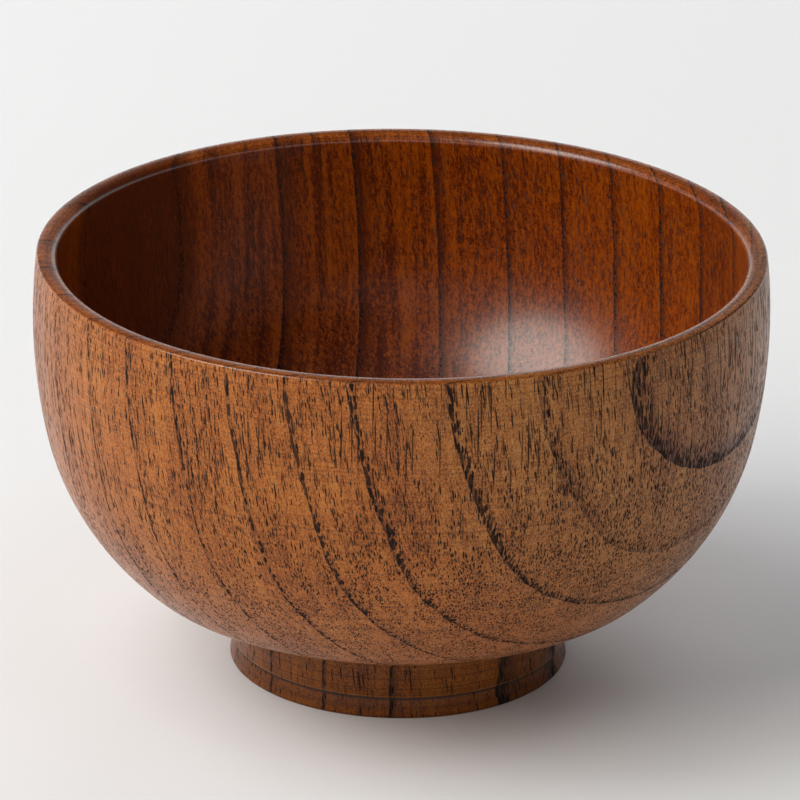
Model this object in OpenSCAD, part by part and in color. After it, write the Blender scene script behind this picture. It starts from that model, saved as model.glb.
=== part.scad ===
// A turned wooden soup bowl with a raised foot ring, finished in thin coats of wiped lacquer.
// The outline is a chain of tangent arcs. Every surface is given as finished, with its lacquer on,
// and the wood lies under it by the thickness of the coat. The origin is on the floor, on the axis.

/* [Overall] */
// Radius of the outside at the lip
rim_r = 57; // [54:0.5:62]
// Height of the bowl from the floor to the lip
bowl_h = 68.3; // [63:0.1:76]

/* [Outside] */
// How far the wall leans in at the lip, in degrees
lip_lean = 7.1; // [4:0.1:9]
// Angle of the side above the horizontal where the wall turns into the belly, in degrees
wall_angle = 78.7; // [74:0.1:82]
// Radius of the curve of the belly
belly_r = 42.7; // [40:0.1:46]
// Angle of the side above the horizontal where the belly turns under, in degrees
belly_angle = 41.7; // [38:0.1:46]
// Radius of the turn from the belly to the underside
heel_r = 12.9; // [10:0.1:16]
// Angle of the underside above the horizontal as it runs out from the foot, in degrees
under_angle = 16; // [12:0.5:20]

/* [Lip] */
// Thickness of the wall at the lip
lip_t = 3.4; // [2.8:0.1:4]
// Radius of the slight crown across the top of the lip
crown_r = 7; // [6:0.5:12]
// Distance from the outside of the wall to the highest line of the lip
crown_in = 1.1; // [0.9:0.1:1.4]
// Radius of the outer edge of the lip
outer_edge_r = 0.35; // [0.25:0.05:0.6]
// Radius of the inner edge of the lip
inner_edge_r = 1.4; // [1:0.1:1.6]

/* [Inside] */
// Radius of the curve of the belly inside
inner_belly_r = 33; // [30:0.5:36]
// Radius of the shallow curve of the bottom inside
inner_floor_r = 95; // [80:1:120]
// Thickness of the wood at the middle of the floor
floor_t = 8; // [6:0.5:10]

/* [Foot] */
// Radius of the outer wall of the foot
foot_r = 26.6; // [24:0.1:29]
// Height of the foot, up to where its wall would meet the underside
foot_h = 11; // [9:0.5:14]
// Radius of the hollow where the foot runs into the underside
foot_fillet_r = 1.6; // [1:0.1:2.4]
// Height above the floor of the fine turned line round the foot
line_h = 3.4; // [2.6:0.1:4.4]
// How far the foot at the floor stands out past its wall
foot_spread = 0.2; // [0:0.05:0.5]
// How far the band below the line flares out, in degrees
foot_flare = 10; // [8:0.5:12]
// Radius of the edge above the line
line_edge_r = 0.2; // [0.15:0.05:0.25]
// Radius of the two edges of the resting face
foot_edge_r = 0.4; // [0.3:0.05:0.5]
// Width of the foot ring at the floor
foot_ring_w = 3.8; // [3:0.1:5]
// Depth of the recess under the bowl
recess_h = 6.5; // [5:0.1:8]
// Radius of the corner inside the recess
recess_corner_r = 1.8; // [1:0.1:2.5]

/* [Lacquer] */
// Thickness of the lacquer in all its coats
coat_t = 0.15; // [0.1:0.01:0.25]

/* [Hidden] */
// Deepest that a flat of an arc lies under the true curve
arc_sag = 0.01;

// Unit vector at an angle from +X towards +Z, and the outward normal of a side at an angle
function toward(a) = [cos(a), sin(a)];
function normal(a) = toward(a - 90);

// How many times v holds a, when the rest of v is along b
function times(v, a, b) = cross(v, b) / cross(a, b);

// Points of an arc about c from angle a0 to a1, its radius taken in by inset.
// The count of points follows r alone, so that the wood and the lacquer over it match flat for flat.
function arc(c, r, a0, a1, inset) =
    let (n = ceil(abs(a1 - a0) / (2 * acos(1 - arc_sag / r))))
    [for (i = [0 : n]) c + (r - inset) * toward(a0 + (a1 - a0) * i / n)];

// Where circles about p and q, with radii rp and rq, cross to the right of the way from p to q
function crossing(p, rp, q, rq) =
    let (d = norm(q - p), u = (q - p) / d, along = (rp * rp - rq * rq + d * d) / (2 * d))
    p + along * u + sqrt(rp * rp - along * along) * [u.y, -u.x];

function heading(v) = atan2(v.y, v.x);
function reversed(list) = [for (i = [len(list) - 1 : -1 : 0]) list[i]];

// The outside between its fixed ends, the lip and the foot. Two things give way to join them: the radius
// of the wall, and the straight length of the underside from the foot out to the heel.
lip_angle = 90 + lip_lean;
lip_end = [rim_r, bowl_h];
foot_end = [foot_r, foot_h];
under_n = normal(under_angle);
under_way = toward(under_angle);
wall_turn = normal(lip_angle) - normal(wall_angle);
other_turns = belly_r * normal(wall_angle) - (belly_r - heel_r) * normal(belly_angle) - heel_r * under_n;
joining = lip_end - foot_end - other_turns;
wall_r = times(joining, wall_turn, under_way);
under_len = times(joining, under_way, wall_turn);

// Centres of the outside's arcs, each on the normal that it shares with the last
heel_c = foot_end + under_len * under_way - heel_r * under_n;
belly_c = heel_c - (belly_r - heel_r) * normal(belly_angle);
wall_c = belly_c - (wall_r - belly_r) * normal(wall_angle);

// The inside: a wall that runs beside the outer one, a belly, and a shallow floor
inner_wall_r = wall_r - lip_t;
floor_c = [0, recess_h + floor_t + inner_floor_r];
inner_belly_c = crossing(wall_c, inner_wall_r - inner_belly_r, floor_c, inner_floor_r - inner_belly_r);

// The lip: a crown between an outer and an inner edge
crown_c = [rim_r - crown_in, bowl_h - crown_r];
outer_edge_c = crossing(crown_c, crown_r - outer_edge_r, wall_c, wall_r - outer_edge_r);
inner_edge_c = crossing(crown_c, crown_r - inner_edge_r, wall_c, inner_wall_r + inner_edge_r);

// Angles at which one arc of the lip or the inside hands over to the next
crown_from = heading(outer_edge_c - crown_c);
crown_to = heading(inner_edge_c - crown_c);
inner_wall_from = heading(inner_edge_c - wall_c);
inner_wall_to = heading(inner_belly_c - wall_c);
inner_floor_from = heading(inner_belly_c - floor_c);

// The foot: its fillet touches the outer wall and the underside, and ends where the heel begins
fillet_r = min(foot_fillet_r, under_len / tan(45 - under_angle / 2));
fillet_c = [foot_r + fillet_r, foot_h + fillet_r * (tan(under_angle) - 1 / cos(under_angle))];
line_edge_c = [foot_r - line_edge_r, line_h + line_edge_r];
base_edge_c = [foot_r + foot_spread - foot_edge_r, foot_edge_r];
recess_r = foot_r + foot_spread - foot_ring_w;
recess_edge_c = [recess_r + foot_edge_r, foot_edge_r];
recess_corner_c = [recess_r - recess_corner_r, recess_h - recess_corner_r];

// Where the ledge over the line meets the flared band below it
function line_corner(inset) =
    let (rise = line_h + inset - base_edge_c.y)
    [base_edge_c.x + (foot_edge_r - inset - rise * sin(foot_flare)) / cos(foot_flare), line_h + inset];

// From the resting face up the foot and the outside, over the lip and down inside to the axis
function bowl_line(inset) = concat(
    arc(base_edge_c, foot_edge_r, -90, foot_flare, inset),
    [line_corner(inset)],
    arc(line_edge_c, line_edge_r, -90, 0, inset),
    arc(fillet_c, fillet_r, 180, heading(-under_n), -inset),
    arc(heel_c, heel_r, heading(under_n), belly_angle - 90, inset),
    arc(belly_c, belly_r, belly_angle - 90, wall_angle - 90, inset),
    arc(wall_c, wall_r, wall_angle - 90, heading(outer_edge_c - wall_c), inset),
    arc(outer_edge_c, outer_edge_r, heading(outer_edge_c - wall_c), crown_from, inset),
    arc(crown_c, crown_r, crown_from, crown_to, inset),
    arc(inner_edge_c, inner_edge_r, crown_to, 180 + inner_wall_from, inset),
    arc(wall_c, inner_wall_r, inner_wall_from, inner_wall_to, -inset),
    arc(inner_belly_c, inner_belly_r, inner_wall_to, inner_floor_from, -inset),
    arc(floor_c, inner_floor_r, inner_floor_from, -90, -inset)
);

// From the resting face up the inner wall of the foot and across the recess to the axis
function recess_line(inset) = concat(
    arc(recess_edge_c, foot_edge_r, -90, -180, inset),
    arc(recess_corner_c, recess_corner_r, 0, 90, -inset),
    [[0, recess_h + inset]]
);

// The wood, turned from one block with its foot. Its bare resting face is at the floor.
module turned_body() {
    resting_face = [[recess_edge_c.x, 0], [base_edge_c.x, 0]];
    color("#9c5a2c")
        rotate_extrude($fn = 128)
        polygon(concat(resting_face, bowl_line(coat_t), reversed(recess_line(coat_t))));
}

// The lacquer on all that shows when the bowl stands
module lacquer_coat() {
    color("#7a3f18")
        rotate_extrude($fn = 128)
        polygon(concat(bowl_line(0), reversed(bowl_line(coat_t))));
}

// The lacquer in the recess under the bowl
module recess_coat() {
    color("#5f3013")
        rotate_extrude($fn = 128)
        polygon(concat(recess_line(0), reversed(recess_line(coat_t))));
}

turned_body();
lacquer_coat();
recess_coat();
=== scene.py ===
"""A turned wooden soup bowl, dressed in solid wood grain under wiped lacquer, in a plain studio."""
import math

import bpy
from mathutils import Matrix, Vector


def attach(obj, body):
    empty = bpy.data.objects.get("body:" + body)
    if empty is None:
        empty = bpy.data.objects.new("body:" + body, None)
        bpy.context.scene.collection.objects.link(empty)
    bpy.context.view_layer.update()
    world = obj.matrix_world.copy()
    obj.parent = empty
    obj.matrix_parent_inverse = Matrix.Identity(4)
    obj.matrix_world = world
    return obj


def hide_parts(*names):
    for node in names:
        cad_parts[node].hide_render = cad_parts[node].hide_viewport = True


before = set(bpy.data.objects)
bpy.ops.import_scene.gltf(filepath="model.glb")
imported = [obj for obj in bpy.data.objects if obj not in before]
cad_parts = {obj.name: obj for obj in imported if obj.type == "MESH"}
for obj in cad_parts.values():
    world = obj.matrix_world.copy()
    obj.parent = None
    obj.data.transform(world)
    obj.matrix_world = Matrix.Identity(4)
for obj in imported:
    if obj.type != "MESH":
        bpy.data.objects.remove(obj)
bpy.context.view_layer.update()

# A millimetre in metres
MM = 0.001

# The bowl's sizes in millimetres, as the solids have them
RIM_R = 57
BOWL_H = 68.3
LIP_LEAN = 7.1
WALL_ANGLE = 78.7
BELLY_R = 42.7
BELLY_ANGLE = 41.7
HEEL_R = 12.9
UNDER_ANGLE = 16
LIP_T = 3.4
CROWN_R = 7
CROWN_IN = 1.1
OUTER_EDGE_R = 0.35
INNER_EDGE_R = 1.4
INNER_BELLY_R = 33
INNER_FLOOR_R = 95
FLOOR_T = 8
FOOT_R = 26.6
FOOT_H = 11
FOOT_FILLET_R = 1.6
LINE_H = 3.4
FOOT_SPREAD = 0.2
FOOT_FLARE = 10
LINE_EDGE_R = 0.2
FOOT_EDGE_R = 0.4
FOOT_RING_W = 3.8
RECESS_H = 6.5
RECESS_CORNER_R = 1.8
COAT_T = 0.15

# How finely the surfaces are cut: flats round the axis, and the depth of a flat under its arc. Faces that
# meet at more than SHARP_ANGLE degrees have a sharp edge between them.
TURNS = 360
ARC_SAG = 0.01
SHARP_ANGLE = 30

# The camera: metres, degrees, and the photograph's focal length in its own pixels
CAMERA_DISTANCE = 1.0401
CAMERA_ELEVATION = 23.92
CAMERA_YAW = -0.005
CAMERA_PITCH = 2.197
CAMERA_ROLL = 0.62
FOCAL_PX = 6500
IMAGE_PX = 800
SENSOR_MM = 36
CLIP_START = 0.01

# The tree: where its pith stands from the bowl's axis at a height of PITH_Z, and how far it leans for
# each millimetre of height. The rings also bend a little: BENDS gives millimetres of radius for powers
# of the distance across the pith's direction, along it, and up, each in units of BEND_SPAN.
PITH_AZIMUTH = 145.26
PITH_DISTANCE = 82.24
PITH_Z = 30
PITH_LEAN = (0.086, -0.1633)
BEND_SPAN = 50
BENDS = {(2, 0, 0): 3.84, (0, 2, 0): -4.11, (0, 0, 2): 6.42, (1, 1, 0): 1.26, (1, 0, 1): 0.38,
         (0, 1, 1): 0.18, (3, 0, 0): 0.62, (1, 2, 0): 1.28, (2, 0, 1): 2.71, (1, 0, 2): 2.77,
         (0, 0, 3): 0.6}
# Near the lip at the right the rings swell in a low mound, which cuts the outermost ring into a U
MOUND_AT = (55.2, 2.3, 63.9)
MOUND_H = 5
MOUND_SPREAD = (27, 27, 11.2)
# The foot's rings run straight down, as they do at the first height, and bend above the two others
FOOT_GRAIN_Z = 4
FOOT_GRAIN_TOP = (8, 12)
# How far the fibres drift sideways for each millimetre of height
FIBRE_LEAN = (-0.12, 0.03)
# Each year: the radius at which its wood begins, how dark its first line is, how quickly its wood ages,
# how full of vessels it is, and how deep the shade is that follows the line
YEARS = [(25.8, 1, 0.6, 0, 0.5), (44.4, 1, 0.6, 0, 0.5), (59.2, 1, 0.6, 0, 0.6), (74.6, 0.9, 0.8, 0, 0.4),
         (87.4, 0.95, 0.9, 0, 0.35), (97.4, 0.95, 1, 0, 0.25), (105.7, 0.95, 1, 0, 0.25),
         (113, 1, 1, 0, 0.25), (118.9, 1, 1.1, 0.08, 0.25), (123.5, 1.05, 1.2, 0.1, 0.15),
         (128.1, 1, 1.5, 0.12, 0.2), (130.7, 0.7, 1.6, 0.2, 0.1), (132.33, 0.9, 1.5, 0.25, 1)]
# The heights between which the foot gives way to the belly
FOOT_TOP = (FOOT_H, FOOT_H + 1.5)

# Noises, by what they draw. Each: how its field is stretched, how fine it is, its detail, its roughness
SLOW_WAVER = ((1, 1, 0.5), 0.12, 1, 0.5)
QUICK_WAVER = ((1, 1, 0.25), 0.7, 2, 0.5)
DRIFT = ((1, 1, 0.3), 0.09, 3, 0.6)
STREAK = ((1, 0.5, 0.05), 1.8, 3, 0.7)
FLECK = ((1, 1, 0.5), 5, 2, 0.7)
BLOTCH = ((1, 1, 0.35), 2, 1, 0.6)
BAND = ((1, 0.2, 0.04), 0.45, 3, 0.6)
TURNING = ((1, 1, 1), 2.1, 3, 0.75)
RAGGED = ((0.3, 0.5, 0.14), 1, 2, 0.5)
CLUSTER = ((1, 0.3, 0.06), 1.2, 1, 0.5)
STRAND = ((1, 1, 0.12), 3, 1, 0.5)
# The middle value of every noise
NOISE_MIDDLE = 0.5

# Many of the values below are ramps: where one starts, where it ends, and what it gives at each end. One
# with two values only gives 0 at its start and 1 at its end.

# The rings waver by up to half of these millimetres, and less in the outer years, by a ramp of the radius
SLOW_WAVER_MM = 0.5
QUICK_WAVER_MM = 0.45
CALM = (122, 131, 1, 0.15)
# The wide years near the pith, which only the hollow shows, and the greyer outermost years: of the radius
WIDE_YEARS = (65, 95, 1, 0)
GREY_YEARS = (124, 131, 0, 1)
# What the wood's colour is multiplied by in the outermost years
OUTER_TINT = (0.98, 1.2, 1.7, 1)

# The wood's tone runs from 0, dark, to 1, light. It strays from MID_TONE by these noises, each with the
# field that it lies in, how strongly it shows everywhere, and how much more in the hollow and in the
# hollow's wide years. The first wood of a year is darker, by a ramp of its age.
MID_TONE = 0.5
TONES = [("place", DRIFT, 0.9, 0, 0), ("ringwise", STREAK, 1.1, 0.3, 0), ("fibre", FLECK, 2.6, 0, 0),
         ("fibre", BLOTCH, 0, 1.8, 0), ("ringwise", BAND, 0, 0, 2.5)]
EARLY_WOOD = (0, 4, 1, 0)
EARLY_TONE = -0.04

# Turning marks: a ramp of their noise, and how much more or less they show on the foot, in the hollow and
# over the lip
MARK_EDGE = (0.45, 0.65)
MARKS_ON_FOOT = 0.9
MARKS_IN_HOLLOW = -0.6
MARKS_ON_LIP = 4

# Vessels are dashes along the fibres. Each kind: how many stand side by side in a millimetre, how many times
# longer than wide they are, their half-width as a part of their spacing, and how dark the palest of them is
SMALL = (2.8, 5, 0.32, 0.7)
LONG = (2.3, 15, 0.29, 0.7)
THIN = (3.6, 14, 0.3, 0.7)
WALL_LINES = (2.4, 40, 0.27, 0.8)
# The thin ones are paler
THIN_SHARE = 0.85
# The edge of a vessel and the stain in the wood round it: ramps of the distance past its half-width
VESSEL_EDGE = (-0.05, 0.05, 1, 0)
VESSEL_STAIN = (-0.04, 0.22, 0.24, 0)
# The share of vessels that are paler than the darkest
PALER_SHARE = 0.8

# The first vessels of a year stand in a row. Their half-width follows the wood's age by a ramp, unevenly,
# and is a little less in the hollow, where they stand closer together along the row, as beads.
# EVERY_PLACE is over any chance value, so each place holds one.
FIRST_SCALE = 2.6
FIRST_STRETCH = 5
FIRST_PALEST = 0.85
EVERY_PLACE = 1.1
ROW = (0.1, 0.9, 0.56, 0.06)
ROW_RAGGED = 0.4
ROW_IN_HOLLOW = -0.04
CLOSER_BEADS = 1.5

# How many places hold one of the later vessels: a ramp of the wood's age, loose clusters, and how many fewer
# in the hollow, on the foot and between the long lines
CROWD = (0.5, 7, 0.7, 0.4)
CROWD_CLUSTERS = 2.8
CROWD_IN_HOLLOW = -0.15
FEWER_ON_FOOT = -0.7
FEWER_BY_LINES = -0.6
# The later ones are also paler in the hollow
LATER_IN_HOLLOW = -0.4
# Long lines near the lip: ramps of the radius and of the height
LINES_BY_RADIUS = (116, 131, 0.04, 0.6)
LINES_BY_HEIGHT = (42, 52, 0, 1)

# The dark thread behind the first vessels: how wide it is and how much wider on the foot, how dark, how
# much fainter in the hollow, and the ramps of two noises that break it into strands
THREAD_W = 0.22
THREAD_ON_FOOT = 0.6
THREAD_DARK = 0.92
THREAD_IN_HOLLOW = -0.7
THREAD_STRANDS = (0.3, 0.52)
THREAD_GAPS = (0.27, 0.43)
# The shade that follows the thread: how it fades up the wall, how much deeper and wider it is in the hollow
# and in its wide years, and how it is streaked
SHADE_BY_HEIGHT = (51, 60, 1, 0.3)
SHADE_IN_HOLLOW = 0.7
SHADE_IN_WIDE = 0.3
SHADE_W = 1
SHADE_W_HOLLOW = 0.3
SHADE_W_WIDE = 1.2
SHADE_STREAKS = (0.3, 0.55, 0.6, 1)

# Each finish: its light, mid and dark wood and its vessels, as a screen shows them in 0 to 255, its
# roughness, and how strongly the turning marks show
# The lacquered vessels' colour also paints the shadow in the foot's groove, and its light wood the highlight
# on the groove's edge.
LACQUERED = ((191, 121, 56), (164, 92, 31), (92, 42, 10), (22, 9, 4), 0.28, 0.4)
RECESS = ((120, 62, 22), (92, 42, 12), (60, 26, 8), (20, 10, 6), 0.4, 0.4)
BARE = ((200, 150, 92), (172, 118, 66), (130, 82, 42), (64, 38, 20), 0.6, 0.3)
# How much of the hollow's heavier lacquer the outer edge of the lip has
LIP_SHARE = 0.4
# What the lacquer's colour is multiplied by in the hollow, on the foot, and on the foot's lowest band,
# where more coats have built up. In the hollow and on the foot the darkening is also painted shade, for the
# shade that falls in the hollow and under the belly.
HOLLOW_COATS_AND_SHADE = (0.64, 0.365, 0.012, 1)
FOOT_COATS_AND_SHADE = (0.58, 0.54, 0.24, 1)
BAND_TINT = (0.74, 0.66, 0.08, 1)
# The foot's lowest band, the painted shadow in the groove over it and the painted highlight on the groove's
# edge: a ramp of the height, and ramps of the distance from two heights
BAND_TOP = (LINE_H - 0.3, LINE_H, 1, 0)
GROOVE_Z = LINE_H - 0.15
PAINTED_GROOVE_SHADOW = (0.12, 0.5, 0.8, 0)
GROOVE_EDGE_Z = LINE_H + 0.25
PAINTED_EDGE_HIGHLIGHT = (0.04, 0.12, 0.25, 0)

# Gloss: the wood's, the heavier coat's over it in the hollow, and the roughness of an open vessel
WOOD_IOR = 1.36
COAT_ROUGHNESS = 0.262
COAT_IOR = 1.55
VESSEL_ROUGHNESS = 0.95
# Relief: its strength, its depth in millimetres, the marks' part in it, and how much the hollow's lacquer
# fills the vessels
RELIEF = 0.35
RELIEF_MM = 0.05
MARKS_RELIEF = 0.3
VESSELS_FILLED = 0.9

# The floor: half its width in metres, its colour, its roughness and how much it mirrors
FLOOR_HALF = 6
FLOOR_COLOUR = (0.8, 0.812, 0.828, 1)
FLOOR_ROUGHNESS = 0.9
FLOOR_MIRRORS = 0.2

# The studio: one softbox and a ring of soft fills that only light the bowl and aren't mirrored in it.
# Direction and height in degrees, width in metres, watts
PANEL_DISTANCE = 2.2
KEY = (-150, 38, 1.75, 33)
KEY_COLOUR = (1, 0.95, 0.88)
# The same softbox once more, for gloss alone: the real lacquer mirrors it more strongly than lamps of a
# plain level can show
GLOSS_KEY = (-150, 38, 1.75, 29)
# The fills: watts by direction and height
FILL_WIDTH = 1.1
FILLS = {(180, 64): 9.4, (180, 38): 6.8, (150, 15): 10.6, (120, 15): 12.5, (90, 15): 9.6, (60, 15): 3.7,
         (-90, 15): 7, (-150, 64): 1.8, (150, 38): 2.3, (90, 38): 2.2, (60, 38): 2.3, (30, 38): 1.3,
         (0, 64): 1.3, (-30, 64): 1.1, (-60, 64): 2, (-30, 15): 2.2}
# What the camera and glossy surfaces see past the floor: a pale backdrop, which for gloss gives way to a
# dark room between two heights in degrees. Everything gets a trace of light from all round, which is more
# than the room's own, so ROOM only shapes the way down to it.
BACKDROP = 0.85
BACKDROP_TOP = (8, 20)
ROOM = 0.004
TRACE = 0.006


# Plane geometry of the outline, in millimetres, as points (distance from the axis, height)

def toward(angle):
    """Unit vector at an angle in degrees."""
    return Vector((math.cos(math.radians(angle)), math.sin(math.radians(angle))))


def normal(angle):
    """The outward normal of a side that runs at an angle."""
    return toward(angle - 90)


def cross(a, b):
    return a.x * b.y - a.y * b.x


def times(v, a, b):
    """How many times v holds a, when the rest of v is along b."""
    return cross(v, b) / cross(a, b)


def heading(v):
    """The angle of a vector in degrees."""
    return math.degrees(math.atan2(v.y, v.x))


def crossing(p, rp, q, rq):
    """Where circles about p and q cross to the right of the way from p to q."""
    d = (q - p).length
    u = (q - p) / d
    along = (rp * rp - rq * rq + d * d) / (2 * d)
    return p + along * u + math.sqrt(rp * rp - along * along) * Vector((u.y, -u.x))


def arc(c, r, a0, a1, inset):
    """Points of an arc about c from angle a0 to a1, its radius taken in by inset. Their count follows r
    alone, so that the wood and the lacquer over it match flat for flat."""
    flat = 2 * math.degrees(math.acos(1 - ARC_SAG / r))
    n = math.ceil(abs(a1 - a0) / flat)
    return [c + (r - inset) * toward(a0 + (a1 - a0) * i / n) for i in range(n + 1)]


class Outline:
    """The bowl's outline as a chain of tangent arcs, as finished or taken in by an inset."""

    def __init__(self):
        self.under_n = normal(UNDER_ANGLE)
        under_way = toward(UNDER_ANGLE)
        lip_angle = 90 + LIP_LEAN
        foot_end = Vector((FOOT_R, FOOT_H))
        wall_turn = normal(lip_angle) - normal(WALL_ANGLE)
        belly_turn = BELLY_R * normal(WALL_ANGLE) - (BELLY_R - HEEL_R) * normal(BELLY_ANGLE)
        joining = Vector((RIM_R, BOWL_H)) - foot_end - belly_turn + HEEL_R * self.under_n
        self.wall_r = times(joining, wall_turn, under_way)
        under_len = times(joining, under_way, wall_turn)
        self.heel_c = foot_end + under_len * under_way - HEEL_R * self.under_n
        self.belly_c = self.heel_c - (BELLY_R - HEEL_R) * normal(BELLY_ANGLE)
        self.wall_c = self.belly_c - (self.wall_r - BELLY_R) * normal(WALL_ANGLE)
        self.inner_wall_r = self.wall_r - LIP_T
        self.floor_c = Vector((0, RECESS_H + FLOOR_T + INNER_FLOOR_R))
        self.inner_belly_c = crossing(self.wall_c, self.inner_wall_r - INNER_BELLY_R,
                                      self.floor_c, INNER_FLOOR_R - INNER_BELLY_R)
        self.crown_c = Vector((RIM_R - CROWN_IN, BOWL_H - CROWN_R))
        self.outer_edge_c = crossing(self.crown_c, CROWN_R - OUTER_EDGE_R,
                                     self.wall_c, self.wall_r - OUTER_EDGE_R)
        self.inner_edge_c = crossing(self.crown_c, CROWN_R - INNER_EDGE_R,
                                     self.wall_c, self.inner_wall_r + INNER_EDGE_R)
        rise = math.tan(math.radians(UNDER_ANGLE)) - 1 / math.cos(math.radians(UNDER_ANGLE))
        self.fillet_c = Vector((FOOT_R + FOOT_FILLET_R, FOOT_H + FOOT_FILLET_R * rise))
        self.line_edge_c = Vector((FOOT_R - LINE_EDGE_R, LINE_H + LINE_EDGE_R))
        self.base_edge_c = Vector((FOOT_R + FOOT_SPREAD - FOOT_EDGE_R, FOOT_EDGE_R))
        recess_r = FOOT_R + FOOT_SPREAD - FOOT_RING_W
        self.recess_edge_c = Vector((recess_r + FOOT_EDGE_R, FOOT_EDGE_R))
        self.recess_corner_c = Vector((recess_r - RECESS_CORNER_R, RECESS_H - RECESS_CORNER_R))

    def line_corner(self, inset):
        """Where the ledge over the foot's line meets the flared band below it."""
        flare = math.radians(FOOT_FLARE)
        rise = LINE_H + inset - self.base_edge_c.y
        out = (FOOT_EDGE_R - inset - rise * math.sin(flare)) / math.cos(flare)
        return Vector((self.base_edge_c.x + out, LINE_H + inset))

    def outer_line(self, inset):
        """From the resting face up the foot and the outside."""
        lip_from = heading(self.outer_edge_c - self.wall_c)
        points = arc(self.base_edge_c, FOOT_EDGE_R, -90, FOOT_FLARE, inset)
        points += [self.line_corner(inset)]
        points += arc(self.line_edge_c, LINE_EDGE_R, -90, 0, inset)
        points += arc(self.fillet_c, FOOT_FILLET_R, 180, heading(-self.under_n), -inset)
        points += arc(self.heel_c, HEEL_R, heading(self.under_n), BELLY_ANGLE - 90, inset)
        points += arc(self.belly_c, BELLY_R, BELLY_ANGLE - 90, WALL_ANGLE - 90, inset)[1:]
        return points + arc(self.wall_c, self.wall_r, WALL_ANGLE - 90, lip_from, inset)[1:]

    def lip_line(self, inset):
        """Round the outer edge of the lip, over its crown and round its inner edge."""
        lip_from = heading(self.outer_edge_c - self.wall_c)
        crown_from = heading(self.outer_edge_c - self.crown_c)
        crown_to = heading(self.inner_edge_c - self.crown_c)
        edge_to = 180 + heading(self.inner_edge_c - self.wall_c)
        points = arc(self.outer_edge_c, OUTER_EDGE_R, lip_from, crown_from, inset)[1:]
        points += arc(self.crown_c, CROWN_R, crown_from, crown_to, inset)[1:]
        return points + arc(self.inner_edge_c, INNER_EDGE_R, crown_to, edge_to, inset)[1:]

    def inner_line(self, inset):
        """Down the inside and in to the axis."""
        wall_from = heading(self.inner_edge_c - self.wall_c)
        wall_to = heading(self.inner_belly_c - self.wall_c)
        floor_from = heading(self.inner_belly_c - self.floor_c)
        points = arc(self.wall_c, self.inner_wall_r, wall_from, wall_to, -inset)[1:]
        points += arc(self.inner_belly_c, INNER_BELLY_R, wall_to, floor_from, -inset)[1:]
        return points + arc(self.floor_c, INNER_FLOOR_R, floor_from, -90, -inset)[1:]

    def bowl_line(self, inset):
        """From the resting face up the outside, over the lip and down inside to the axis."""
        return self.outer_line(inset) + self.lip_line(inset) + self.inner_line(inset)

    def insides(self, inset):
        """For each point of bowl_line, 0 outside and 1 in the hollow, rising over the lip."""
        lip = len(self.lip_line(inset))
        rising = [LIP_SHARE + (1 - LIP_SHARE) * (i + 1) / lip for i in range(lip)]
        return [0.0] * len(self.outer_line(inset)) + rising + [1.0] * len(self.inner_line(inset))

    def recess_line(self, inset):
        """From the resting face up the inner wall of the foot and across the recess to the axis."""
        points = arc(self.recess_edge_c, FOOT_EDGE_R, -90, -180, inset)
        points += arc(self.recess_corner_c, RECESS_CORNER_R, 0, 90, -inset)
        return points + [Vector((0, RECESS_H + inset))]


def turned_points(outline):
    """An outline turned about the axis: its points in metres, and for each point of it which of them are
    its own. Its first and its last point are on the axis."""
    verts = []
    rows = []
    for i, p in enumerate(outline):
        on_axis = i in (0, len(outline) - 1)
        count = 1 if on_axis else TURNS
        radius = 0 if on_axis else p.x
        rows.append(range(len(verts), len(verts) + count))
        for k in range(count):
            turn = 2 * math.pi * k / TURNS
            verts.append((radius * math.cos(turn) * MM, radius * math.sin(turn) * MM, p.y * MM))
    return verts, rows


def lathe(name, outline, insides=None):
    """A closed solid turned from an outline that starts and ends on the axis. insides gives each point's
    share in the hollow of the bowl, which the lacquer's colour follows."""
    verts, rows = turned_points(outline)
    faces = []
    for low, high in zip(rows, rows[1:]):
        for k in range(TURNS):
            after = k + 1
            ring = [low[k % len(low)], low[after % len(low)], high[after % len(high)], high[k % len(high)]]
            faces.append(list(dict.fromkeys(ring)))
    mesh = bpy.data.meshes.new(name)
    mesh.from_pydata(verts, [], faces)
    inside = mesh.attributes.new("inside", "FLOAT", "POINT")
    shares = [share for row, share in zip(rows, insides or [0.0] * len(rows)) for _ in row]
    inside.data.foreach_set("value", shares)
    mesh.shade_smooth()
    mesh.set_sharp_from_angle(angle=math.radians(SHARP_ANGLE))
    piece = bpy.data.objects.new(name, mesh)
    bpy.context.scene.collection.objects.link(piece)
    return piece


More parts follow.
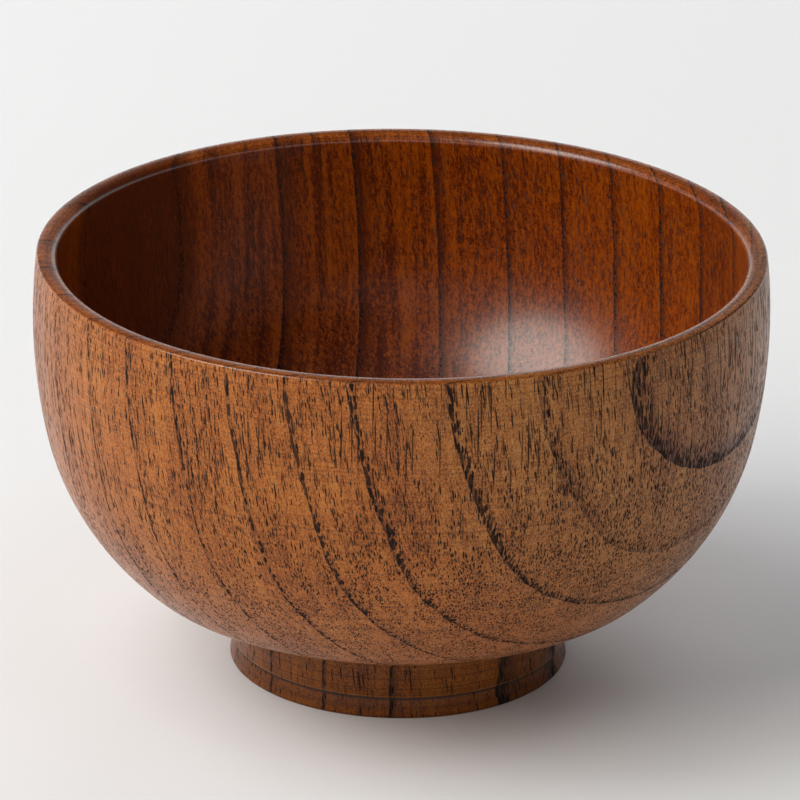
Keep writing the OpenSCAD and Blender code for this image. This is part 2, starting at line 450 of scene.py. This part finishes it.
class Shader:
    """A node tree, with short calls that add one node or a few and return the output."""

    def __init__(self, tree):
        self.tree = tree

    def node(self, kind, **settings):
        made = self.tree.nodes.new(kind)
        for key, value in settings.items():
            setattr(made, key, value)
        return made

    def feed(self, socket, value):
        if isinstance(value, bpy.types.NodeSocket):
            self.tree.links.new(value, socket)
        else:
            socket.default_value = value

    def math(self, operation, a, b=0.0, c=0.0, clamp=False):
        made = self.node("ShaderNodeMath", operation=operation, use_clamp=clamp)
        for socket, value in zip(made.inputs, (a, b, c)):
            self.feed(socket, value)
        return made.outputs[0]

    def plus(self, value, *parts):
        """value, and for each part, a field and an amount, that much of the field."""
        for field, amount in parts:
            value = self.math("MULTIPLY_ADD", field, amount, value)
        return value

    def vector(self, operation, a, b=(0.0, 0.0, 0.0)):
        made = self.node("ShaderNodeVectorMath", operation=operation)
        self.feed(made.inputs[0], a)
        self.feed(made.inputs[1], b)
        return made.outputs["Value"] if operation in ("LENGTH", "DOT_PRODUCT") else made.outputs[0]

    def combine(self, x, y, z):
        made = self.node("ShaderNodeCombineXYZ")
        for socket, value in zip(made.inputs, (x, y, z)):
            self.feed(socket, value)
        return made.outputs[0]

    def separate(self, v):
        made = self.node("ShaderNodeSeparateXYZ")
        self.feed(made.inputs[0], v)
        return made.outputs[0], made.outputs[1], made.outputs[2]

    def noise(self, at, stretch, scale, detail, roughness):
        made = self.node("ShaderNodeTexNoise", noise_dimensions="3D")
        self.feed(made.inputs["Vector"], self.vector("MULTIPLY", at, stretch))
        for key, value in (("Scale", scale), ("Detail", detail), ("Roughness", roughness)):
            made.inputs[key].default_value = value
        return made.outputs["Fac"]

    def uneven(self, at, *noise):
        """The same noise, less its middle value."""
        return self.math("SUBTRACT", self.noise(at, *noise), NOISE_MIDDLE)

    def cells(self, at, scale):
        """The distance from the middle of the nearest cell, and the three chance values of that cell."""
        made = self.node("ShaderNodeTexVoronoi", voronoi_dimensions="3D", feature="F1")
        self.feed(made.inputs["Vector"], at)
        made.inputs["Scale"].default_value = scale
        return made.outputs["Distance"], made.outputs["Color"]

    def span(self, value, low, high, to_low=0.0, to_high=1.0, smooth=True):
        """value carried from low..high to to_low..to_high, and held there past the ends."""
        made = self.node("ShaderNodeMapRange", clamp=True,
                         interpolation_type="SMOOTHSTEP" if smooth else "LINEAR")
        for socket, given in zip(made.inputs, (value, low, high, to_low, to_high)):
            self.feed(socket, given)
        return made.outputs[0]

    def mix(self, factor, a, b, blend="MIX"):
        made = self.node("ShaderNodeMix", data_type="RGBA", blend_type=blend)
        self.feed(made.inputs["Factor"], factor)
        self.feed(made.inputs["A"], a)
        self.feed(made.inputs["B"], b)
        return made.outputs["Result"]

    def tinted(self, colour, tint, share):
        """colour, multiplied by tint as far as share goes."""
        return self.mix(share, colour, self.mix(1.0, colour, tint, "MULTIPLY"))

    def bump(self, height, strength, distance_mm):
        made = self.node("ShaderNodeBump")
        made.inputs["Strength"].default_value = strength
        made.inputs["Distance"].default_value = distance_mm * MM
        self.feed(made.inputs["Height"], height)
        return made.outputs[0]

    def principled(self):
        """The inputs of a surface that is joined to the material's output."""
        shader = self.node("ShaderNodeBsdfPrincipled")
        out = self.node("ShaderNodeOutputMaterial")
        self.tree.links.new(shader.outputs[0], out.inputs["Surface"])
        return shader.inputs


def new_material(name):
    """A material with nothing in it, and the calls that fill it."""
    material = bpy.data.materials.new(name)
    material.use_nodes = True
    material.node_tree.nodes.clear()
    return material, Shader(material.node_tree)


def rgb(red, green, blue):
    """A colour given as 0 to 255, as a screen shows it, turned into the linear value that nodes use."""
    def linear(c):
        c = c / 255
        return c / 12.92 if c <= 0.04045 else ((c + 0.055) / 1.055) ** 2.4
    return (linear(red), linear(green), linear(blue), 1.0)


class Finish:
    """The colours and the gloss of one kind of surface."""

    def __init__(self, light, mid, dark, pore, roughness, turned):
        self.light, self.mid, self.dark, self.pore = (rgb(*shade) for shade in (light, mid, dark, pore))
        self.roughness = roughness
        self.turned = turned


class Grain:
    """The solid wood of the block: one field of growth rings and vessels for every piece.

    Lengths are in millimetres. z is the height, away the distance from the bowl's axis, radius the distance
    from the pith, and across the distance across the pith's direction. place is the point itself, and
    fibre, ringwise and wall are the same point as noises and vessels take it that follow the fibres, the
    rings or the bowl's wall. inside, outside, foot and wide are shares of 0 to 1: in the hollow, not in it,
    in the foot, and in the wide years that the hollow cuts. age is how far into its year the wood grew, and
    line, fullness and shade are the facts of that year, as YEARS has them."""

    def __init__(self, s, straight_foot):
        self.s = s
        position = s.node("ShaderNodeTexCoord").outputs["Object"]
        self.place = s.vector("MULTIPLY", position, (1 / MM, 1 / MM, 1 / MM))
        x, y, self.z = s.separate(self.place)
        self.away = s.vector("LENGTH", s.combine(x, y, 0.0))
        self.inside = s.node("ShaderNodeAttribute", attribute_name="inside").outputs["Fac"]
        self.outside = s.math("SUBTRACT", 1.0, self.inside)
        self.foot = s.span(self.z, *FOOT_TOP, 1.0, 0.0)
        if straight_foot:
            x, y = self.straightened(x, y)
        pith = toward(PITH_AZIMUTH)
        self.across = s.vector("DOT_PRODUCT", self.place, (-pith.y, pith.x, 0))
        self.radius = self.wavering(self.swollen(self.bent_radius(x, y, pith)))
        self.age, self.line, self.fullness, self.shade = self.year()
        self.wide = s.math("MULTIPLY", self.inside, s.span(self.radius, *WIDE_YEARS))
        self.ringwise = s.combine(self.radius, self.across, self.z)
        drift_x, drift_y = (s.math("MULTIPLY", self.z, -lean) for lean in FIBRE_LEAN)
        self.fibre = s.vector("ADD", self.place, s.combine(drift_x, drift_y, 0.0))
        level = s.math("DIVIDE", RIM_R, self.away)
        self.wall = s.vector("MULTIPLY", self.place, s.combine(level, level, 1.0))

    def straightened(self, x, y):
        """x and y drawn out to the foot's wall below its line, so that the rings run straight down there."""
        s = self.s
        low = s.math("LESS_THAN", self.z, LINE_H + LINE_EDGE_R)
        further = s.math("SUBTRACT", s.math("DIVIDE", FOOT_R, self.away), 1.0)
        scale = s.math("MULTIPLY_ADD", low, further, 1.0)
        return s.math("MULTIPLY", x, scale), s.math("MULTIPLY", y, scale)

    def bent_radius(self, x, y, pith):
        """The distance from the leaning pith, with the bends of the rings."""
        s = self.s
        straight = s.span(self.z, *FOOT_GRAIN_TOP, 1.0, 0.0)
        ring_z = s.math("MULTIPLY_ADD", straight, s.math("SUBTRACT", FOOT_GRAIN_Z, self.z), self.z)
        over = s.math("SUBTRACT", ring_z, PITH_Z)
        out = [s.math("MULTIPLY_ADD", over, -lean, s.math("SUBTRACT", value, PITH_DISTANCE * part))
               for value, part, lean in zip((x, y), pith, PITH_LEAN)]
        radius = s.vector("LENGTH", s.combine(*out, 0.0))
        along = s.vector("DOT_PRODUCT", self.place, (pith.x, pith.y, 0))
        spans = [s.math("DIVIDE", v, BEND_SPAN) for v in (self.across, along, over)]
        for powers, bend in BENDS.items():
            term = bend
            for v, power in zip(spans, powers):
                for _ in range(power):
                    term = s.math("MULTIPLY", v, term)
            radius = s.math("ADD", radius, term)
        return radius

    def swollen(self, radius):
        """The radius with the low mound that the rings have outside, near the lip."""
        s = self.s
        spread = tuple(1 / width for width in MOUND_SPREAD)
        off = s.vector("LENGTH", s.vector("MULTIPLY", s.vector("SUBTRACT", self.place, MOUND_AT), spread))
        fall = s.math("EXPONENT", s.math("MULTIPLY", s.math("MULTIPLY", off, off), -0.5))
        return s.math("MULTIPLY_ADD", s.math("MULTIPLY", fall, self.outside), MOUND_H, radius)

    def wavering(self, radius):
        """The radius a little uneven, and least where the surface runs along the rings."""
        s = self.s
        quick = s.math("MULTIPLY", s.uneven(self.place, *QUICK_WAVER), QUICK_WAVER_MM)
        waver = s.math("MULTIPLY_ADD", s.uneven(self.place, *SLOW_WAVER), SLOW_WAVER_MM, quick)
        return s.math("MULTIPLY_ADD", waver, s.span(radius, *CALM), radius)

    def year(self):
        """The age of the wood, and the facts of its year, from steps at each year's first radius."""
        s = self.s
        facts = [0.0] * len(YEARS[0])
        last = [0] * len(YEARS[0])
        for year in YEARS:
            past = s.math("GREATER_THAN", self.radius, year[0])
            facts = [s.math("MULTIPLY_ADD", past, new - old, fact)
                     for new, old, fact in zip(year, last, facts)]
            last = year
        began, line, pace, fullness, shade = facts
        return s.math("MULTIPLY", s.math("SUBTRACT", self.radius, began), pace), line, fullness, shade


def vessels(s, at, share, scale, stretch, reach, palest):
    """Dashes along the fibres, where share says how many of the places hold one and the other values are
    those of a kind of vessel."""
    distance, pick = s.cells(s.vector("MULTIPLY", at, (1, 1, 1 / stretch)), scale)
    chosen, depth, _ = s.separate(pick)
    past = s.math("SUBTRACT", distance, reach)
    stained = s.math("MAXIMUM", s.span(past, *VESSEL_EDGE), s.span(past, *VESSEL_STAIN))
    dark = s.span(depth, 0.0, PALER_SHARE, palest, 1.0)
    return s.math("MULTIPLY", stained, s.math("MULTIPLY", s.math("LESS_THAN", chosen, share), dark))


def first_vessels(s, g, ragged):
    """A ragged row of large vessels where a year begins. In the hollow they show as beads."""
    row = s.plus(s.span(g.age, *ROW), (s.math("SUBTRACT", ragged, NOISE_MIDDLE), ROW_RAGGED),
                 (g.inside, ROW_IN_HOLLOW))
    beads = s.math("MULTIPLY", g.z, s.plus(1.0, (g.inside, CLOSER_BEADS)))
    return vessels(s, s.combine(g.age, g.across, beads), EVERY_PLACE, FIRST_SCALE, FIRST_STRETCH,
                   s.math("MULTIPLY", row, g.line), FIRST_PALEST)


def later_vessels(s, g):
    """Smaller vessels that thin out in loose clusters. Near the lip, where the wall runs along the rings
    and the fibres, they show in long lines."""
    crowd = s.plus(s.span(g.age, *CROWD), (s.uneven(g.ringwise, *CLUSTER), CROWD_CLUSTERS))
    crowd = s.math("ADD", crowd, s.plus(g.fullness, (g.inside, CROWD_IN_HOLLOW)))
    lines = s.math("MULTIPLY", s.span(g.radius, *LINES_BY_RADIUS), s.span(g.z, *LINES_BY_HEIGHT))
    lines = s.math("MULTIPLY", lines, g.outside)
    few = s.plus(crowd, (g.foot, FEWER_ON_FOOT), (lines, FEWER_BY_LINES))
    thin = s.math("MULTIPLY", vessels(s, g.fibre, few, *THIN), THIN_SHARE)
    later = s.math("MAXIMUM", vessels(s, g.fibre, crowd, *LONG), thin)
    later = s.math("MAXIMUM", vessels(s, g.fibre, few, *SMALL), later)
    later = s.math("MAXIMUM", later, vessels(s, g.wall, lines, *WALL_LINES))
    return s.math("MULTIPLY", later, s.plus(1.0, (g.inside, LATER_IN_HOLLOW)))


def thread(s, g, ragged, strands):
    """A dark thread behind the first vessels, whole on the foot and broken into strands elsewhere."""
    dark = s.span(g.age, 0.0, s.plus(THREAD_W, (g.foot, THREAD_ON_FOOT)), THREAD_DARK, 0.0)
    whole = s.math("MULTIPLY", s.span(strands, *THREAD_STRANDS), s.span(ragged, *THREAD_GAPS))
    whole = s.math("MAXIMUM", whole, g.foot)
    dark = s.math("MULTIPLY", s.math("MULTIPLY", dark, whole), g.line)
    return s.math("MULTIPLY", dark, s.plus(1.0, (g.inside, THREAD_IN_HOLLOW)))


def year_shade(s, g, strands):
    """A streaked shade after the thread, deeper in the hollow and fainter towards the lip outside."""
    deep = s.math("MULTIPLY", g.shade, s.span(g.z, *SHADE_BY_HEIGHT))
    deep = s.math("MULTIPLY_ADD", g.inside, SHADE_IN_HOLLOW, deep)
    deep = s.math("MULTIPLY_ADD", g.wide, SHADE_IN_WIDE, deep, clamp=True)
    reach = s.plus(SHADE_W, (g.inside, SHADE_W_HOLLOW), (g.wide, SHADE_W_WIDE))
    return s.math("MULTIPLY", s.span(g.age, 0.0, reach, deep, 0.0), s.span(strands, *SHADE_STREAKS))


def plain_wood(s, g, finish):
    """The wood between its vessels: slow drift, streaks along the rings and fibres, and fine flecks."""
    fields = {"place": g.place, "ringwise": g.ringwise, "fibre": g.fibre}
    tone = MID_TONE
    for field, noise, amount, in_hollow, in_wide in TONES:
        amount = s.plus(amount, (g.inside, in_hollow), (g.wide, in_wide))
        tone = s.plus(tone, (s.uneven(fields[field], *noise), amount))
    tone = s.math("MULTIPLY_ADD", s.span(g.age, *EARLY_WOOD), EARLY_TONE, tone, clamp=True)
    colour = s.mix(s.span(tone, 0.0, MID_TONE, smooth=False), finish.dark, finish.mid)
    colour = s.mix(s.span(tone, MID_TONE, 1.0, smooth=False), colour, finish.light)
    return s.tinted(colour, OUTER_TINT, s.span(g.radius, *GREY_YEARS))


def marks_share(s, g, marks, finish):
    """How strongly the turning marks, fine rings about the bowl's axis, show: most on the foot."""
    cut = s.plus(1.0, (g.inside, MARKS_IN_HOLLOW), (g.foot, MARKS_ON_FOOT))
    lip = s.math("MULTIPLY", s.math("MULTIPLY", g.inside, g.outside), MARKS_ON_LIP)
    cut = s.math("MULTIPLY", s.math("ADD", cut, lip), finish.turned)
    return s.math("MULTIPLY", s.span(marks, *MARK_EDGE), cut)


def foot_coats_and_painted_light(s, g, colour, finish):
    """More coats on the foot and its lowest band. Painted shade over the foot, a painted shadow in the
    groove round it and a painted highlight on the groove's edge.
    """
    # The foot's tint is more coats and also painted shade under the belly; the lowest band's is more coats.
    for share, tint in ((g.foot, FOOT_COATS_AND_SHADE), (s.span(g.z, *BAND_TOP), BAND_TINT)):
        colour = s.tinted(colour, tint, share)
    # A painted shadow in the groove under the ledge, in the vessels' colour, and a painted highlight on the
    # ledge's edge, in the light wood's colour.
    for z, ramp, shade in ((GROOVE_Z, PAINTED_GROOVE_SHADOW, finish.pore),
                           (GROOVE_EDGE_Z, PAINTED_EDGE_HIGHLIGHT, finish.light)):
        off = s.math("ABSOLUTE", s.math("SUBTRACT", g.z, z))
        colour = s.mix(s.span(off, *ramp), colour, shade)
    return colour


def wood_material(name, finish, with_foot=False):
    """Open-grained wood under a clear brown finish. with_foot says whether the piece has the foot's outer
    wall, with its straight rings, its heavier lacquer and painted shade, and the painted shadow and
    highlight at its groove."""
    material, s = new_material(name)
    g = Grain(s, with_foot)
    ragged = s.noise(g.ringwise, *RAGGED)
    strands = s.noise(g.fibre, *STRAND)
    marks = s.noise(s.combine(g.away, g.z, 0.0), *TURNING)
    pores = s.math("MAXIMUM", first_vessels(s, g, ragged), later_vessels(s, g))

    colour = s.mix(marks_share(s, g, marks, finish), plain_wood(s, g, finish), finish.dark)
    colour = s.mix(year_shade(s, g, strands), colour, finish.dark)
    colour = s.mix(s.math("MAXIMUM", pores, thread(s, g, ragged, strands)), colour, finish.pore)
    # Heavier lacquer in the hollow, darkened further by painted shade.
    colour = s.tinted(colour, HOLLOW_COATS_AND_SHADE, g.inside)
    if with_foot:
        colour = foot_coats_and_painted_light(s, g, colour, finish)

    surface = s.principled()
    s.feed(surface["Base Color"], colour)
    s.feed(surface["Roughness"], s.plus(finish.roughness, (pores, VESSEL_ROUGHNESS - finish.roughness)))
    surface["IOR"].default_value = WOOD_IOR
    s.feed(surface["Coat Weight"], s.span(g.inside, 0.0, LIP_SHARE, smooth=False))
    surface["Coat Roughness"].default_value = COAT_ROUGHNESS
    surface["Coat IOR"].default_value = COAT_IOR
    open_pores = s.math("MULTIPLY", pores, s.plus(-1.0, (g.inside, VESSELS_FILLED)))
    s.feed(surface["Normal"], s.bump(s.plus(open_pores, (marks, MARKS_RELIEF)), RELIEF, RELIEF_MM))
    return material


def dress(piece, node, material):
    """Give a piece its material and the body that it rides on, and hide the solid that it stands for."""
    piece.data.materials.append(material)
    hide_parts(node)
    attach(piece, "root")


def make_bowl():
    """The wood with its bare resting face, the lacquer on all that shows, and the lacquer under the foot."""
    outline = Outline()
    resting_face = [Vector((outline.recess_edge_c.x, 0)), Vector((outline.base_edge_c.x, 0))]
    wood_line = list(reversed(outline.recess_line(COAT_T))) + resting_face + outline.bowl_line(COAT_T)
    coat_line = list(reversed(outline.bowl_line(COAT_T))) + outline.bowl_line(0)
    recess_line = list(reversed(outline.recess_line(COAT_T))) + outline.recess_line(0)

    lacquered = wood_material("lacquered_wood", Finish(*LACQUERED), with_foot=True)
    recess = wood_material("recess_wood", Finish(*RECESS))
    bare = wood_material("bare_wood", Finish(*BARE))

    dress(lathe("turned_wood", wood_line), "turned_body", bare)
    insides = list(reversed(outline.insides(COAT_T))) + outline.insides(0)
    dress(lathe("lacquered_surface", coat_line, insides), "lacquer_coat", lacquered)
    dress(lathe("lacquered_recess", recess_line), "recess_coat", recess)


def make_floor():
    """A pale seamless floor, large enough that no view ends on its edge."""
    mesh = bpy.data.meshes.new("floor")
    corners = [(FLOOR_HALF * x, FLOOR_HALF * y, 0) for x, y in ((-1, -1), (1, -1), (1, 1), (-1, 1))]
    mesh.from_pydata(corners, [], [(0, 1, 2, 3)])
    floor = bpy.data.objects.new("floor", mesh)
    bpy.context.scene.collection.objects.link(floor)
    material, s = new_material("floor_paper")
    surface = s.principled()
    surface["Base Color"].default_value = FLOOR_COLOUR
    surface["Roughness"].default_value = FLOOR_ROUGHNESS
    surface["Specular IOR Level"].default_value = FLOOR_MIRRORS
    mesh.materials.append(material)


def make_panel(name, azimuth, elevation, width, watts):
    """A round softbox or panel that faces the bowl's middle."""
    flat = toward(azimuth) * math.cos(math.radians(elevation))
    way = Vector((flat.x, flat.y, math.sin(math.radians(elevation))))
    data = bpy.data.lights.new(name, "AREA")
    data.shape = "DISK"
    data.size = width
    data.energy = watts
    lamp = bpy.data.objects.new(name, data)
    lamp.location = Vector((0, 0, BOWL_H * MM / 2)) + way * PANEL_DISTANCE
    lamp.rotation_euler = way.to_track_quat("Z", "Y").to_euler()
    bpy.context.scene.collection.objects.link(lamp)
    return lamp


def make_world():
    """A pale background for the camera, and for glossy surfaces a pale backdrop under a dark room."""
    world = bpy.data.worlds.new("studio")
    world.use_nodes = True
    s = Shader(world.node_tree)
    path = s.node("ShaderNodeLightPath").outputs
    height = s.separate(s.node("ShaderNodeTexCoord").outputs["Generated"])[2]
    low, high = (math.sin(math.radians(angle)) for angle in BACKDROP_TOP)
    mirrored = s.span(height, low, high, BACKDROP, ROOM)
    seen = s.math("MULTIPLY", path["Is Camera Ray"], BACKDROP)
    glossy = s.math("MAXIMUM", path["Is Glossy Ray"], path["Is Transmission Ray"])
    background = world.node_tree.nodes["Background"]
    background.inputs["Color"].default_value = (1, 1, 1, 1)
    strength = s.math("MAXIMUM", s.math("MULTIPLY_ADD", glossy, mirrored, seen), TRACE)
    s.feed(background.inputs["Strength"], strength)
    bpy.context.scene.world = world


def make_light():
    """The softbox, the same again for gloss alone, and the fills, which no surface mirrors."""
    for name, key in (("key_box", KEY), ("gloss_box", GLOSS_KEY)):
        box = make_panel(name, *key)
        box.data.color = KEY_COLOUR
        box.visible_diffuse = key is KEY
    for (azimuth, elevation), watts in FILLS.items():
        fill = make_panel(f"fill_{azimuth % 360}_{elevation}", azimuth, elevation, FILL_WIDTH, watts)
        fill.visible_glossy = False
    make_world()


def make_camera():
    """The photograph's camera: it looks at the bowl's foot, and is then turned and rolled a little."""
    elevation = math.radians(CAMERA_ELEVATION)
    where = Vector((0, -math.cos(elevation), math.sin(elevation))) * CAMERA_DISTANCE
    ahead = -where.normalized()
    right = ahead.cross(Vector((0, 0, 1))).normalized()
    up = right.cross(ahead)
    ahead += math.tan(math.radians(CAMERA_YAW)) * right + math.tan(math.radians(CAMERA_PITCH)) * up
    ahead.normalize()
    right = ahead.cross(up).normalized()
    up = right.cross(ahead)
    roll = math.radians(CAMERA_ROLL)
    right, up = (math.cos(roll) * right + math.sin(roll) * up, math.cos(roll) * up - math.sin(roll) * right)
    data = bpy.data.cameras.new("camera")
    data.sensor_width = SENSOR_MM
    data.lens = FOCAL_PX * SENSOR_MM / IMAGE_PX
    data.clip_start = CLIP_START
    camera = bpy.data.objects.new("camera", data)
    axes = Matrix((right, up, -ahead)).transposed().to_4x4()
    camera.matrix_world = Matrix.Translation(where) @ axes
    bpy.context.scene.collection.objects.link(camera)
    bpy.context.scene.camera = camera


make_bowl()
make_floor()
make_light()
make_camera()
bpy.context.scene.view_settings.view_transform = "Standard"
